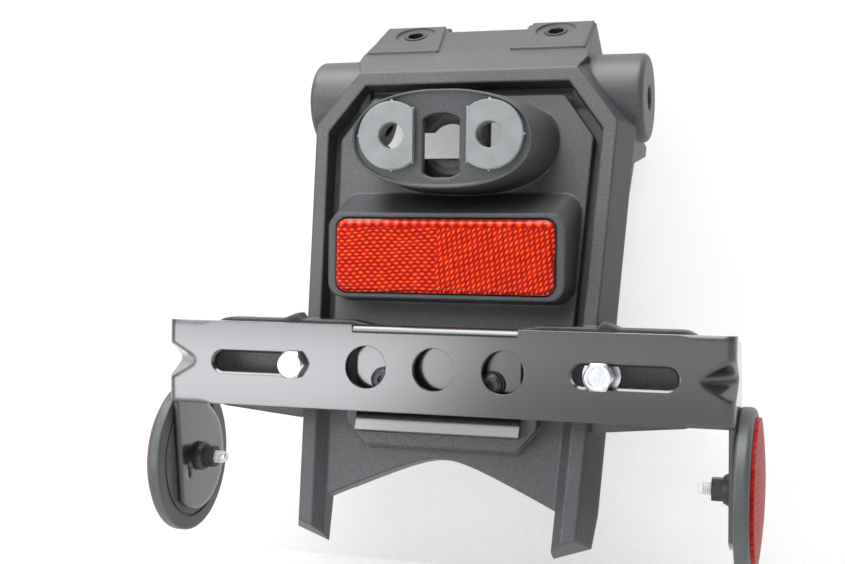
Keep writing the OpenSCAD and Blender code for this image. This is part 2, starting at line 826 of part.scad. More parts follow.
module bracket_half() {
    difference() {
        union() {
            slab(0, sheet) translate([-tiny, bar_low]) square([bracket_x - bend_r + tiny, bar_t]);
            translate([0, 0, bar_low]) linear_extrude(bar_t) bend_section(bracket_x - bend_r, bend_r);
            wide(tab_in, bracket_x) flange_profile();
            slab(sheet - tiny, nut_seat) slot_outline(1.6);
            intersection() {
                gusset_form(sheet);
                translate([bracket_x - bend_r - 14, 0, bar_low]) linear_extrude(bar_t) {
                    square([14 + tiny, 18]);
                    square([14 + bend_r, 18]);
                }
                corner_block();
            }
        }
        gusset_form(0);
        slab(-1, nut_seat + 1) slot_outline(0);
        hull() {
            slab(-tiny, 0) slot_outline(0.9);
            slab(0.9, 0.9 + tiny) slot_outline(0);
        }
        slab(-1, sheet + 1) translate([hole_pitch, 0]) circle(d = hole_dia);
        slab(-1, sheet + 1) circle(d = hole_dia);
    }
}

// Everything inside the bracket's outer corner, which trims the pressed gusset.
module corner_block() {
    translate([0, 0, -reach / 2]) linear_extrude(reach) {
        translate([0, 0]) square([bracket_x - bend_r, reach]);
        translate([0, bend_r]) square([bracket_x, reach]);
        translate([bracket_x - bend_r, bend_r]) circle(bend_r);
    }
}

// The tongue: folded back from the bar's top edge, flat behind the bar, with a lip bent forward.
module tongue() {
    wide(-tongue_w / 2, tongue_w / 2) {
        for (corner = [[fold_r, -1], [tongue_back - fold_r, 1]])
            translate([corner[0], bar_top - fold_r]) intersection() {
                difference() {
                    circle(fold_r);
                    circle(fold_r - sheet);
                }
                translate([min(corner[1], 0) * fold_r, 0]) square(fold_r);
            }
        translate([fold_r - tiny, bar_top - sheet]) square([tongue_back - 2 * fold_r + 2 * tiny, sheet]);
        translate([tongue_y, -tongue_end]) square([sheet, tongue_end + bar_top - fold_r + tiny]);
        translate([tongue_back, -tongue_end]) rotate(-lip_turn) translate([-sheet, -lip])
            square([sheet, lip + tiny]);
    }
}

module plate_bracket() color(steel) difference() {
    union() {
        difference() {
            both_sides() bracket_half();
            translate([-tongue_w / 2, -1, bar_top - fold_r]) cube([tongue_w, sheet + 2, reach]);
        }
        tongue();
    }
    for (s = [-1, 1]) slab(tongue_y - 1, tongue_back + 1) translate([s * screw_x, -screw_drop]) {
        square([5, 5.6], center = true);
        for (e = [-2.5, 2.5]) translate([e, 0]) circle(d = 5.6);
    }
}

module bracket_screw() color(zinc) translate([screw_x, tongue_y - washer_t, -screw_drop])
    mirror([0, 1, 0]) pan_screw(8.6, tongue_y - washer_t - sheet - 0.3, m5, 11);

module bracket_washer() color(zinc) difference() {
    post(screw_x, -screw_drop, 10, tongue_y - washer_t, tongue_y);
    post(screw_x, -screw_drop, m5 + 0.3, 0, 20);
}

module bracket_insert() color(brass) difference() {
    post(screw_x, -screw_drop, insert_dia, tongue_back, tongue_back + insert_len);
    post(screw_x, -screw_drop, m5 + 2 * slide_fit, 0, 30);
}

module plate_bolt(x) color(zinc) difference() {
    union() {
        intersection() {
            hex_post(x, 0, bolt_flats, -bolt_head, 0);
            translate([x, 0, 0]) rotate([90, 0, 0])
                cylinder(d1 = bolt_flats + 6, d2 = bolt_flats - 0.8, h = bolt_head);
        }
        post(x, 0, m6, -tiny, wing_y - 0.8);
    }
    post(x, 0, bolt_flats * 0.72, -bolt_head - 1, -bolt_head + 0.25);
}

// A flange nut along Y, with its flange on the seat at y0.
module flanged_nut(flange_w, flange_h, flats, height) {
    difference() {
        union() {
            rotate([-90, 0, 0]) cylinder(d1 = flange_w, d2 = flange_w - 1.6, h = flange_h);
            hex_post(0, 0, flats, flange_h - tiny, flange_h + height);
        }
        children();
    }
}

module plate_nut(x) color(zinc) translate([x, nut_seat, 0])
    flanged_nut(14, 1.8, 10, 4.2) post(0, 0, m6 + 2 * slide_fit, -1, 10);

// Places children on the right side reflector's axis: +Y there points outwards along X.
module on_side() {
    translate([bracket_x, side_y, -side_z]) rotate([0, 0, -90]) children();
}

module side_reflector_base() color(plastic) on_side() difference() {
    translate([0, 0, 0]) rotate([-90, 0, 0]) rotate_extrude() {
        square([side_dia / 2 - 1, 2]);
        square([side_dia / 2 - side_round, side_t]);
        translate([0, 1]) square([side_dia / 2, side_t - side_round - 1]);
        translate([side_dia / 2 - 1, 1]) circle(1);
        translate([side_dia / 2 - side_round, side_t - side_round]) circle(side_round);
    }
    post(0, 0, disc_dia + 2 * slide_fit, side_t - disc_seat, side_t + 1);
    post(0, 0, 9.2, 2, side_t);
    post(0, 0, m5 + 2 * slide_fit, -1, side_t);
    difference() {
        post(0, 0, side_dia * 0.82, -1, 0.9);
        post(0, 0, side_dia * 0.82 - 2.4, -2, 2);
    }
}

module side_reflector_lens() color(red) on_side() {
    cap_r = (pow(disc_dia / 2, 2) + dome * dome) / (2 * dome);
    rotate([-90, 0, 0]) rotate_extrude() {
        translate([0, side_t - disc_seat]) square([disc_dia / 2, disc_seat + disc_edge + tiny]);
        intersection() {
            translate([0, side_t + disc_edge + dome - cap_r]) circle(cap_r, $fn = 720);
            translate([0, side_t + disc_edge]) square([disc_dia / 2, dome + 1]);
        }
    }
}

module side_reflector_stud() color(zinc) on_side() {
    post(0, 0, 9, 2, side_t - disc_seat - slide_fit);
    post(0, 0, m5, -sheet - stud_out, 2);
}

module side_reflector_washer() color(zinc) on_side() difference() {
    post(0, 0, flange_nut[0], -sheet - side_washer_t, -sheet);
    post(0, 0, m5 + 0.3, -reach / 2, reach / 2);
}

module side_reflector_nut() color(zinc) on_side() translate([0, -sheet - side_washer_t, 0]) mirror([0, 1, 0])
    flanged_nut(flange_nut[0], flange_nut[1], flange_nut[2], flange_nut[3])
        post(0, 0, m5 + 2 * slide_fit, -1, 10);

module ear_bush() color(zinc) on_roof() difference() {
    post(ear_span / 2, ear_v, bush_dia, bush_top, bush_top + bush_len);
    post(ear_span / 2, ear_v, bush_bore, -10, 20);
}

body();
rear_cover();
cover_screw(0);  // cover_screw_1
cover_screw(1);  // cover_screw_2
cover_screw(2);  // cover_screw_3
cover_screw(3);  // cover_screw_4
cover_screw(4);  // cover_screw_5
cover_screw(5);  // cover_screw_6
cable_plate();
left_side() cable_plate_screw();  // cable_plate_screw_left
cable_plate_screw();  // cable_plate_screw_right
left_side() lamp_grommet();  // lamp_grommet_left
lamp_grommet();  // lamp_grommet_right
reflector_back();
reflector_lens();
reflector_stud();
reflector_washer();
reflector_nut();
plate_bracket();
left_side() bracket_screw();  // bracket_screw_left
bracket_screw();  // bracket_screw_right
left_side() bracket_washer();  // bracket_washer_left
bracket_washer();  // bracket_washer_right
left_side() bracket_insert();  // bracket_insert_left
bracket_insert();  // bracket_insert_right
plate_bolt(-bolt_left);  // plate_bolt_left
plate_bolt(bolt_right);  // plate_bolt_right
plate_nut(-bolt_left);  // plate_nut_left
plate_nut(bolt_right);  // plate_nut_right
left_side() side_reflector_base();  // side_reflector_base_left
side_reflector_base();  // side_reflector_base_right
left_side() side_reflector_lens();  // side_reflector_lens_left
side_reflector_lens();  // side_reflector_lens_right
left_side() side_reflector_stud();  // side_reflector_stud_left
side_reflector_stud();  // side_reflector_stud_right
left_side() side_reflector_washer();  // side_reflector_washer_left
side_reflector_washer();  // side_reflector_washer_right
left_side() side_reflector_nut();  // side_reflector_nut_left
side_reflector_nut();  // side_reflector_nut_right
left_side() ear_bush();  // ear_bush_left
ear_bush();  // ear_bush_right
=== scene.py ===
import json
import math
import bmesh
import bpy
from mathutils import Matrix, Vector


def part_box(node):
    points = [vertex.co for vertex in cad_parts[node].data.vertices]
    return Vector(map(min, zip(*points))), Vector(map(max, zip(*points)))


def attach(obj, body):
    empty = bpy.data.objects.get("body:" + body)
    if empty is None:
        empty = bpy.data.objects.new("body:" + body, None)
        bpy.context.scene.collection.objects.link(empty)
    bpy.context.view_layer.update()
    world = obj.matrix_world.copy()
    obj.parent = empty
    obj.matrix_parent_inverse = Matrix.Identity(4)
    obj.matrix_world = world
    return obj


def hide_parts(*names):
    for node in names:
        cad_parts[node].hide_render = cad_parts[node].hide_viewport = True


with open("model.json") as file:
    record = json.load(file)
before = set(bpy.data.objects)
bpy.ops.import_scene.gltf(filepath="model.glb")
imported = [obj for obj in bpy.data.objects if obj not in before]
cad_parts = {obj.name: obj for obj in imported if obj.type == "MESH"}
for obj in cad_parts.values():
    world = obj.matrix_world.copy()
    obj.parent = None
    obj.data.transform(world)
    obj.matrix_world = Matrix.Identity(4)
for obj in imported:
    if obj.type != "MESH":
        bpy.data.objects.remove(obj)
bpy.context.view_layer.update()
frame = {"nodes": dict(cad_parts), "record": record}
NODES = frame["nodes"]
SLOT = {part["node"]: part["material_slot"] for part in frame["record"]["subparts"]}
MM = 0.001
# vertices closer than this, in metres, are one
WELD = 0.000002
# a face wider than this, in square metres, is shaded flat
WIDE_FACE = 0.0001
SOFT_EDGE = math.radians(35)
# the photograph's width and the solved focal length, both in pixels
IMAGE_WIDTH = 845
FOCAL_LENGTH = 1354.8


# ---------------------------------------------------------------- colours and nodes
def colour(code):
    """An sRGB hex value as the linear colour that Blender works in."""
    parts = [int(code[i:i + 2], 16) / 255 for i in (1, 3, 5)]
    return tuple(c / 12.92 if c <= 0.04045 else ((c + 0.055) / 1.055) ** 2.4 for c in parts) + (1.0,)


def add(tree, kind, settings=None, **links):
    """One node. Its settings are properties, inputs' values, or a colour ramp's stops; links feed its inputs.

    A link names its input with _ for each space. i0 is the first input, i1 the second, and so on.
    """
    node = tree.nodes.new(kind)
    for key, value in (settings or {}).items():
        if key == "stops":
            elements = node.color_ramp.elements
            while len(elements) < len(value):
                elements.new(0.5)
            for element, (place, code) in zip(elements, value):
                element.position = place
                element.color = colour(code)
        elif key[1:].isdigit():
            node.inputs[int(key[1:])].default_value = value
        elif key in node.inputs:
            node.inputs[key].default_value = value
        else:
            setattr(node, key, value)
    for key, source in links.items():
        target = int(key[1:]) if key[1:].isdigit() else key.replace("_", " ")
        tree.links.new(source, node.inputs[target])
    return node


def blank(name):
    """A material without a shader yet, its node tree, and the object's coordinates."""
    mat = bpy.data.materials.new(name)
    mat.use_nodes = True
    mat.node_tree.nodes.clear()
    return mat, mat.node_tree, add(mat.node_tree, "ShaderNodeTexCoord").outputs["Object"]


def material(name, settings):
    """A material, its node tree, its shader's inputs, and the object's coordinates."""
    mat, tree, where = blank(name)
    shader = add(tree, "ShaderNodeBsdfPrincipled", settings)
    add(tree, "ShaderNodeOutputMaterial", Surface=shader.outputs[0])
    return mat, tree, shader.inputs, where


def mm(size):
    """The scale of a pattern on Object coordinates whose features are this many millimetres apart."""
    return 1.0 / (size * MM)


def softened(tree, radius, height, strength, distance):
    """Rounded edges with a relief on top; the edges' radius and the relief's depth are in millimetres."""
    edge = add(tree, "ShaderNodeBevel", {"samples": 8, "Radius": radius * MM})
    bump = add(tree, "ShaderNodeBump", {"Strength": strength, "Distance": distance * MM},
               Height=height, Normal=edge.outputs[0])
    return bump.outputs[0]


def cloudy(tree, where, size, detail, stops):
    """Clouds this many millimetres apart, and the tone that drifts with them between the stops."""
    cloud = add(tree, "ShaderNodeTexNoise", {"Scale": mm(size), "Detail": detail}, Vector=where).outputs[0]
    return cloud, add(tree, "ShaderNodeValToRGB", {"stops": stops}, Fac=cloud).outputs[0]


def dusted(tree, where, base, size, stops, share):
    """The base colour with specks of pale dust on it, this many millimetres apart."""
    fleck = add(tree, "ShaderNodeTexVoronoi", {"Scale": mm(size)}, Vector=where)
    dust = add(tree, "ShaderNodeValToRGB", {"stops": stops}, Fac=fleck.outputs["Distance"])
    mixed = add(tree, "ShaderNodeMix", {"data_type": "RGBA", "blend_type": "ADD", "Factor": share},
                A=base, B=dust.outputs[0])
    return mixed.outputs["Result"]


# ---------------------------------------------------------------- materials
def spark_grained_plastic():
    """Black polypropylene moulded against a spark-eroded tool: the grain breaks its sheen into points."""
    mat, tree, shader, where = material("moulded polypropylene, spark-eroded grain",
                                        {"Roughness": 0.46, "Specular IOR Level": 0.6})
    # the real grain is about 0.15 mm, drawn at 0.55 mm so that it shows in the render
    grain = add(tree, "ShaderNodeTexNoise", {"Scale": mm(0.55), "Detail": 2.0, "Roughness": 0.6},
                Vector=where)
    _, tone = cloudy(tree, where, 35, 2.0, [(0.3, "#3e4043"), (0.7, "#494b4e")])
    points = add(tree, "ShaderNodeValToRGB", {"stops": [(0.35, "#b2b2b2"), (0.66, "#ffffff")]},
                 Fac=grain.outputs[0])
    grained = add(tree, "ShaderNodeMix", {"data_type": "RGBA", "blend_type": "MULTIPLY", "Factor": 1.0},
                  A=tone, B=points.outputs[0])
    dusty = dusted(tree, where, grained.outputs["Result"], 7.0, [(0.0, "#c0c2c2"), (0.03, "#000000")], 0.5)
    tree.links.new(dusty, shader["Base Color"])
    tree.links.new(softened(tree, 1.5, grain.outputs[0], 0.25, 0.06), shader["Normal"])
    return mat


def reflector_plastic():
    """Black ABS, moulded with a fine leather grain round the reflectors' bases."""
    mat, tree, shader, where = material("moulded ABS, leather grain", {"Roughness": 0.42})
    hide = add(tree, "ShaderNodeTexVoronoi", {"Scale": mm(1.1), "feature": "SMOOTH_F1"}, Vector=where)
    _, tone = cloudy(tree, where, 20, 2.0, [(0.3, "#3b3e40"), (0.7, "#474a4c")])
    tree.links.new(tone, shader["Base Color"])
    tree.links.new(softened(tree, 0.4, hide.outputs["Distance"], 0.35, 0.15), shader["Normal"])
    return mat


def powder_coat():
    """Mild steel under satin black powder coat: smooth and glossy, with a faint orange peel."""
    mat, tree, shader, where = material("powder-coated mild steel, satin black",
                                        {"Roughness": 0.24, "Specular IOR Level": 0.8,
                                         "Coat Weight": 1.0, "Coat Roughness": 0.14})
    peel = add(tree, "ShaderNodeTexNoise", {"Scale": mm(2.2), "Detail": 1.0}, Vector=where)
    _, tone = cloudy(tree, where, 22, 3.0, [(0.3, "#121316"), (0.7, "#17181b")])
    dusty = dusted(tree, where, tone, 9.0, [(0.0, "#e0e0e0"), (0.028, "#000000")], 0.6)
    tree.links.new(dusty, shader["Base Color"])
    # the pressed gussets near the bar's ends have wide soft edges, the sheet's own edges small ones
    along = add(tree, "ShaderNodeSeparateXYZ", None, Vector=where).outputs["X"]
    reach = add(tree, "ShaderNodeMath", {"operation": "ABSOLUTE"}, i0=along)
    radius = add(tree, "ShaderNodeMapRange", {"From Min": 90 * MM, "From Max": 94 * MM,
                                              "To Min": 0.5 * MM, "To Max": 2.6 * MM}, Value=reach.outputs[0])
    edge = add(tree, "ShaderNodeBevel", {"samples": 6}, Radius=radius.outputs[0])
    bump = add(tree, "ShaderNodeBump", {"Strength": 0.05, "Distance": 0.05 * MM}, Height=peel.outputs[0],
               Normal=edge.outputs[0])
    tree.links.new(bump.outputs[0], shader["Normal"])
    tree.links.new(edge.outputs[0], shader["Coat Normal"])
    return mat


def zinc_plate():
    """Steel, bright zinc plated: pale and slightly blue, with a fine cloudy wear."""
    mat, tree, shader, where = material("zinc-plated steel, bright", {"Metallic": 1.0, "Roughness": 0.3})
    cloud, tone = cloudy(tree, where, 1.5, 4.0, [(0.3, "#d3d6da"), (0.7, "#f3f4f5")])
    tree.links.new(tone, shader["Base Color"])
    tree.links.new(softened(tree, 0.25, cloud, 0.1, 0.03), shader["Normal"])
    return mat


def black_zinc():
    """Steel, black passivated: dark with a dull metal sheen."""
    mat, tree, shader, where = material("black-passivated steel", {"Metallic": 0.6, "Roughness": 0.4})
    cloud, tone = cloudy(tree, where, 1.2, 4.0, [(0.3, "#2c2e2f"), (0.75, "#4a4d4f")])
    tree.links.new(tone, shader["Base Color"])
    tree.links.new(softened(tree, 0.25, cloud, 0.15, 0.03), shader["Normal"])
    return mat


def turned_brass():
    """Free-cutting brass, turned: fine rings from the tool."""
    mat, tree, shader, where = material("turned brass", {"Metallic": 1.0, "Roughness": 0.3})
    rings = add(tree, "ShaderNodeTexWave", {"Scale": mm(0.8), "bands_direction": "Y"}, Vector=where)
    tone = add(tree, "ShaderNodeValToRGB", {"stops": [(0.2, "#b08a45"), (0.8, "#c9a55c")]},
               Fac=rings.outputs[0])
    tree.links.new(tone.outputs[0], shader["Base Color"])
    return mat


def moulded_rubber():
    """Grey TPE rubber, moulded: soft sheen and fine pores in its surface."""
    mat, tree, shader, where = material("moulded TPE rubber, grey",
                                        {"Roughness": 0.6, "Specular IOR Level": 0.35})
    pores = add(tree, "ShaderNodeTexNoise", {"Scale": mm(0.7), "Detail": 3.0}, Vector=where)
    _, tone = cloudy(tree, where, 6, 3.0, [(0.3, "#767a7b"), (0.7, "#828687")])
    tree.links.new(tone, shader["Base Color"])
    tree.links.new(softened(tree, 0.4, pores.outputs[0], 0.25, 0.06), shader["Normal"])
    return mat


def prism_rows(tree, where, slope, length, row):
    """Staggered rows of small prisms: 0 at each crest, larger in the joints.

    The rows' slope is in degrees; the prisms' length and the rows' pitch are in millimetres.
    """
    level = add(tree, "ShaderNodeMapping", {"Rotation": (0, math.radians(slope), 0)}, Vector=where)
    # a square lattice on its corner, stretched, is a staggered one
    stretch = (mm(length / math.sqrt(2)), 0, mm(row * math.sqrt(2)))
    lattice = add(tree, "ShaderNodeMapping", {"Rotation": (0, math.radians(45), 0), "Scale": stretch},
                  Vector=level.outputs[0])
    cells = add(tree, "ShaderNodeTexVoronoi", {"Scale": 1.0, "Randomness": 0.0}, Vector=lattice.outputs[0])
    # each crest runs along its row, so the joints between rows are the deeper ones
    height = add(tree, "ShaderNodeSeparateXYZ", None, Vector=level.outputs[0]).outputs["Z"]
    phase = add(tree, "ShaderNodeMath", {"operation": "MULTIPLY", "i1": math.pi * mm(row)}, i0=height)
    wave = add(tree, "ShaderNodeMath", {"operation": "SINE"}, i0=phase.outputs[0])
    valley = add(tree, "ShaderNodeMath", {"operation": "ABSOLUTE"}, i0=wave.outputs[0])
    both = add(tree, "ShaderNodeMath", {"operation": "MULTIPLY_ADD", "i1": 0.35},
               i0=valley.outputs[0], i2=cells.outputs["Distance"])
    return both.outputs[0]


def prism_acrylic():
    """Red PMMA over moulded prisms: two fields of short rows that meet near the middle, under a flat face."""
    mat, tree, shader, where = material("red PMMA, prism rows under a smooth face",
                                        {"Roughness": 0.4, "Specular IOR Level": 0.05,
                                         "Coat Weight": 0.4, "Coat Roughness": 0.06})
    # the rows waver a little, as the moulded ones do
    waver = add(tree, "ShaderNodeTexNoise", {"Scale": mm(9), "Detail": 1.0}, Vector=where)
    moved = add(tree, "ShaderNodeVectorMath", {"operation": "MULTIPLY_ADD", "i1": (0.0, 0.0, 1.6 * MM)},
                i0=waver.outputs["Color"], i2=where)
    left = prism_rows(tree, moved.outputs[0], 3, 2.9, 1.4)
    right = prism_rows(tree, moved.outputs[0], 58, 3.2, 1.25)
    border = prism_rows(tree, where, 0, 3.7, 3.4)
    # the two fields meet just left of the middle, and the border runs along the top
    place = add(tree, "ShaderNodeSeparateXYZ", None, Vector=where)
    seam = add(tree, "ShaderNodeMath", {"operation": "GREATER_THAN", "i1": -2.2 * MM}, i0=place.outputs["X"])
    fields = add(tree, "ShaderNodeMix", None, Factor=seam.outputs[0], A=left, B=right)
    top = add(tree, "ShaderNodeMath", {"operation": "GREATER_THAN", "i1": 52.6 * MM}, i0=place.outputs["Z"])
    whole = add(tree, "ShaderNodeMix", None, Factor=top.outputs[0], A=fields.outputs[0], B=border)
    # painted glints: a noise that shifts the prisms' colour lighter or darker
    painted_glint = add(tree, "ShaderNodeTexNoise", {"Scale": mm(2.2), "Detail": 2.0}, Vector=where)
    depth = add(tree, "ShaderNodeMath", {"operation": "MULTIPLY_ADD", "i1": 0.45},
                i0=painted_glint.outputs[0], i2=whole.outputs[0])
    # painted highlights: the prisms' crests are coloured bright orange, the joints deep red
    stops = [(0.34, "#ff6a24"), (0.55, "#e0340c"), (0.8, "#b81c05"), (1.0, "#7c0c03")]
    tone = add(tree, "ShaderNodeValToRGB", {"stops": stops}, Fac=depth.outputs[0])
    tree.links.new(tone.outputs[0], shader["Base Color"])
    bump = add(tree, "ShaderNodeBump", {"Strength": 0.6, "Distance": 0.4 * MM, "invert": True},
               Height=whole.outputs[0])
    tree.links.new(bump.outputs[0], shader["Normal"])
    return mat


def round_prism_acrylic():
    """Red PMMA over hexagonal corner-cube prisms, under a smooth domed face."""
    mat, tree, shader, where = material("red PMMA, corner-cube prisms",
                                        {"Roughness": 0.4, "IOR": 1.3, "Specular IOR Level": 0.2})
    flat = add(tree, "ShaderNodeMapping", {"Scale": (0.0, 1.0, 1.0)}, Vector=where)
    cells = add(tree, "ShaderNodeTexVoronoi", {"Scale": mm(2.4), "Randomness": 0.1}, Vector=flat.outputs[0])
    tone = add(tree, "ShaderNodeValToRGB", {"stops": [(0.12, "#b02010"), (0.5, "#860d07"), (0.7, "#5f0603")]},
               Fac=cells.outputs["Distance"])
    tree.links.new(tone.outputs[0], shader["Base Color"])
    bump = add(tree, "ShaderNodeBump", {"Strength": 0.5, "Distance": 0.4 * MM},
               Height=cells.outputs["Distance"])
    tree.links.new(bump.outputs[0], shader["Normal"])
    return mat


ZINC = zinc_plate()
BLACK_ZINC = black_zinc()
RUBBER = moulded_rubber()
PRISMS = prism_acrylic()
ROUND_PRISMS = round_prism_acrylic()
FINISH = {"body_plastic": spark_grained_plastic(), "reflector_black": reflector_plastic(),
          "grey_rubber": RUBBER, "red_lens": PRISMS, "black_steel": powder_coat(),
          "black_screw": BLACK_ZINC, "zinc": ZINC, "brass": turned_brass()}
# pieces whose look differs from the rest of their slot
OWN_FINISH = {"side_reflector_lens": ROUND_PRISMS, "ear_bush": BLACK_ZINC, "bracket_screw": BLACK_ZINC,
              "bracket_washer": BLACK_ZINC}

for name, node in NODES.items():
    family = name.removesuffix("_left").removesuffix("_right")
    node.data.materials.clear()
    node.data.materials.append(OWN_FINISH.get(family, FINISH[SLOT[name]]))


# ---------------------------------------------------------------- pieces with more detail
def meshed(name, bm, mat):
    """The finished mesh in its material."""
    mesh = bpy.data.meshes.new(name)
    bm.to_mesh(mesh)
    bm.free()
    mesh.materials.append(mat)
    return mesh


def placed(name, data):
    """A new object in the scene."""
    obj = bpy.data.objects.new(name, data)
    bpy.context.collection.objects.link(obj)
    return obj


def piece(name, bm, mat, node):
    """A new piece that stands for a CAD node: closed, facing outwards, and shaded smooth over soft edges."""
    bmesh.ops.remove_doubles(bm, verts=bm.verts, dist=WELD)
    bmesh.ops.recalc_face_normals(bm, faces=bm.faces)
    mesh = meshed(name, bm, mat)
    mesh.shade_smooth()
    mesh.set_sharp_from_angle(angle=SOFT_EDGE)
    # a wide flat face keeps its own normal, so that its rounded edges don't bend its reflections
    for face in mesh.polygons:
        face.use_smooth = face.area < WIDE_FACE
    obj = placed(name, mesh)
    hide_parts(node)
    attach(obj, "root")


def turned(bm, profile, centre, along, steps):
    """A lathe: (reach along the axis, radius) pairs in millimetres, spun once round the axis at centre."""
    along = Vector(along)
    out = along.orthogonal().normalized()
    verts = [bm.verts.new((Vector(centre) + along * reach + out * radius) * MM) for reach, radius in profile]
    edges = [bm.edges.new(pair) for pair in zip(verts, verts[1:])]
    bmesh.ops.spin(bm, geom=verts + edges, cent=Vector(centre) * MM, axis=along, angle=math.tau, steps=steps,
                   use_merge=True)


def thread(start, end, major, pitch):
    """Profile of a screw's shank: ridges at the pitch, with a small chamfer at its end."""
    root, chamfer = major - pitch * 0.6, 0.4
    turns = int((end - start - pitch) / pitch)
    ridge = ((0, root), (0.25, major), (0.5, major), (0.75, root))
    ridges = [(start + (i + part) * pitch, radius) for i in range(turns) for part, radius in ridge]
    return ridges + [(start + turns * pitch, root), (end - chamfer, root), (end, root - chamfer), (end, 0)]


def side_stud(side, sign):
    """Zinc-plated M5 stud: its head is moulded into the base, its threaded end points inwards."""
    node = "side_reflector_stud_" + side
    lo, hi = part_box(node)
    y, z = [(lo[i] + hi[i]) / 2 / MM for i in (1, 2)]
    length = (hi[0] - lo[0]) / MM
    head_x, head_radius, head_t, neck_radius = 112.9, 4.5, 1.2, 2.4
    head = [(0, 0), (0, head_radius), (head_t, head_radius), (head_t, neck_radius)]
    shank = thread(start=1.6, end=length, major=2.45, pitch=0.8)
    bm = bmesh.new()
    turned(bm, head + shank, (sign * head_x, y, z), (-sign, 0, 0), 32)
    piece("threaded_stud_" + side, bm, ZINC, node)


def lens_plate():
    """The rectangular lens: a smooth raised face with a moulded step round its edge."""
    corner_radius, step_width, step_depth, soft_edge = [size * MM for size in (4.2, 1.3, 1.1, 0.5)]
    lo, hi = [Vector(c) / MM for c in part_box("reflector_lens")]
    bm = bmesh.new()
    bmesh.ops.create_cube(bm, size=1)
    bmesh.ops.scale(bm, vec=(hi - lo) * MM, verts=bm.verts)
    bmesh.ops.translate(bm, vec=(lo + hi) / 2 * MM, verts=bm.verts)
    upright = [e for e in bm.edges if abs((e.verts[0].co - e.verts[1].co).y) > MM]
    bmesh.ops.bevel(bm, geom=upright, offset=corner_radius, affect="EDGES", segments=8, profile=0.5,
                    material=-1)
    front = [f for f in bm.faces if f.normal.y < -0.9]
    bmesh.ops.inset_region(bm, faces=front, thickness=step_width, depth=0, use_even_offset=True)
    # the middle face keeps more corners than the inset's four-sided ones round it
    front = [f for f in bm.faces if f.normal.y < -0.9 and len(f.verts) > 8]
    rim = [e for e in bm.edges if all(abs(v.co.y - lo.y * MM) < 1e-6 for v in e.verts)]
    outer = [e for e in rim if any(f.normal.y > -0.5 for f in e.link_faces)]
    bmesh.ops.translate(bm, vec=(0, step_depth, 0), verts=list({v for e in outer for v in e.verts}))
    step = [e for f in front for e in f.edges]
    bmesh.ops.bevel(bm, geom=step, offset=soft_edge, affect="EDGES", segments=3, profile=0.5, material=-1)
    piece("rectangular_lens", bm, PRISMS, "reflector_lens")


def grommet(side, sign):
    """Moulded grommet: D-shaped flange with a raised edge, small nubs, a neck and a tail flange."""
    node = "lamp_grommet_" + side
    lo, hi = [Vector(c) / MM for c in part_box(node)]
    bore, neck, tail, radius, edge = 4.9, 7.8, 11, 12.9, 0.35
    flange_t, neck_end, tail_end = 2.5, 5.5, 8
    axis_x, axis_z = sign * 19.0, (lo.z + hi.z) / 2
    flat_x = axis_x - sign * 8.6
    bm = bmesh.new()
    # the front flange, the neck and the tail flange, as one turned shape
    profile = [(edge, bore), (0, bore + edge), (0, radius - edge), (edge, radius), (flange_t, radius),
               (flange_t, neck), (neck_end, neck), (neck_end, tail), (tail_end, tail), (tail_end, bore),
               (edge, bore)]
    turned(bm, profile, (axis_x, lo.y, axis_z), (0, 1, 0), 64)
    bmesh.ops.remove_doubles(bm, verts=bm.verts, dist=WELD)
    cut = bmesh.ops.bisect_plane(bm, geom=bm.verts[:] + bm.edges[:] + bm.faces[:],
                                 plane_co=(flat_x * MM, 0, 0), plane_no=(-sign, 0, 0), clear_outer=True)
    rim = [e for e in cut["geom_cut"] if isinstance(e, bmesh.types.BMEdge)]
    bmesh.ops.triangle_fill(bm, use_beauty=True, edges=rim)
    # flash nubs left by the mould, at the top, the bottom, the outer side and both ends of the flat
    nub = [(-0.6, 0), (-0.6, 0.7), (0.45, 0.5), (0.75, 0.25), (0.8, 0)]
    for degrees in (90, -90, 0, 130, -130):
        turn = math.radians(degrees)
        away = Vector((sign * math.cos(turn), 0, math.sin(turn)))
        turned(bm, nub, Vector((axis_x, lo.y + 0.9, axis_z)) + away * radius, away, 12)
    piece("moulded_grommet_" + side, bm, RUBBER, node)


lens_plate()
for side, sign in (("left", -1), ("right", 1)):
    side_stud(side, sign)
    grommet(side, sign)


# ---------------------------------------------------------------- camera, light and stage
def camera():
    """The photograph's view, solved from its points."""
    eye = Vector((148.55, -476.76, 45.47)) * MM
    yaw, pitch, roll = math.radians(17.79), math.radians(1.49), math.radians(0.70)
    ahead = Vector((-math.sin(yaw) * math.cos(pitch), math.cos(yaw) * math.cos(pitch), -math.sin(pitch)))
    right = ahead.cross(Vector((0, 0, 1))).normalized()
    up = right.cross(ahead)
    side = math.cos(roll) * right + math.sin(roll) * up
    top = -math.sin(roll) * right + math.cos(roll) * up
    lens = bpy.data.cameras.new("camera")
    lens.sensor_width = 36.0
    lens.lens = lens.sensor_width * FOCAL_LENGTH / IMAGE_WIDTH
    lens.clip_start = 0.01
    lens.clip_end = 50
    obj = placed("camera", lens)
    obj.matrix_world = Matrix.Translation(eye) @ Matrix((side, top, -ahead)).transposed().to_4x4()
    bpy.context.scene.camera = obj


def lamp(name, place, aim, width, height, power):
    """A soft white light; lengths in metres, power in watts."""
    light = bpy.data.lights.new(name, "AREA")
    light.shape = "RECTANGLE"
    light.size, light.size_y = width, height
    light.energy = power
    obj = placed(name, light)
    obj.location = place
    obj.rotation_euler = (Vector(aim) - Vector(place)).to_track_quat("-Z", "Y").to_euler()
    obj.visible_camera = False


def panel(name, corners, mat):
    """One flat face of the stage."""
    bm = bmesh.new()
    bm.faces.new([bm.verts.new(c) for c in corners])
    return placed(name, meshed(name, bm, mat))


